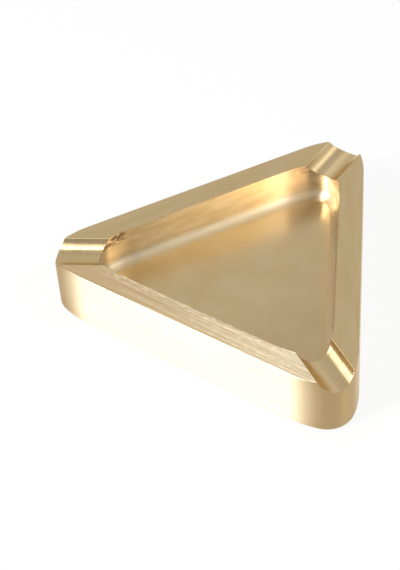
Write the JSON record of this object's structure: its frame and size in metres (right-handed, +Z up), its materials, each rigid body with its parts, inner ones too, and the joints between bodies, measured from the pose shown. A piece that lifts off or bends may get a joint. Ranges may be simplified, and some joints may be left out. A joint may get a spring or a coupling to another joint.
{
  "type": "ashtray",
  "caption": "Triangular solid brass ashtray with a flat rim, a deep milled ash pocket, a round cigarette rest through each corner, and rubber feet bonded into recesses underneath.",
  "frame": {"origin": "middle of the part's outer box seen from above, on the plane of the feet's undersides, where the ashtray meets the table", "axes": "+Z up out of the pocket, +Y along the flat side that joins the two corners at the +X end, -X toward the third corner"},
  "size_m": [0.091, 0.1016, 0.0198],
  "materials": {
    "brass": "milled and lightly brushed solid brass, satin rim and floor, brighter pocket walls",
    "foot_rubber": "matte black rubber",
    "adhesive": "off-white double-sided acrylic bonding disc"
  },
  "bodies": {
    "root": {"tray_body": "brass", "foot_left": "foot_rubber", "foot_far": "foot_rubber", "foot_near": "foot_rubber", "adhesive_left": "adhesive", "adhesive_far": "adhesive", "adhesive_near": "adhesive"}
  },
  "joints": []
}
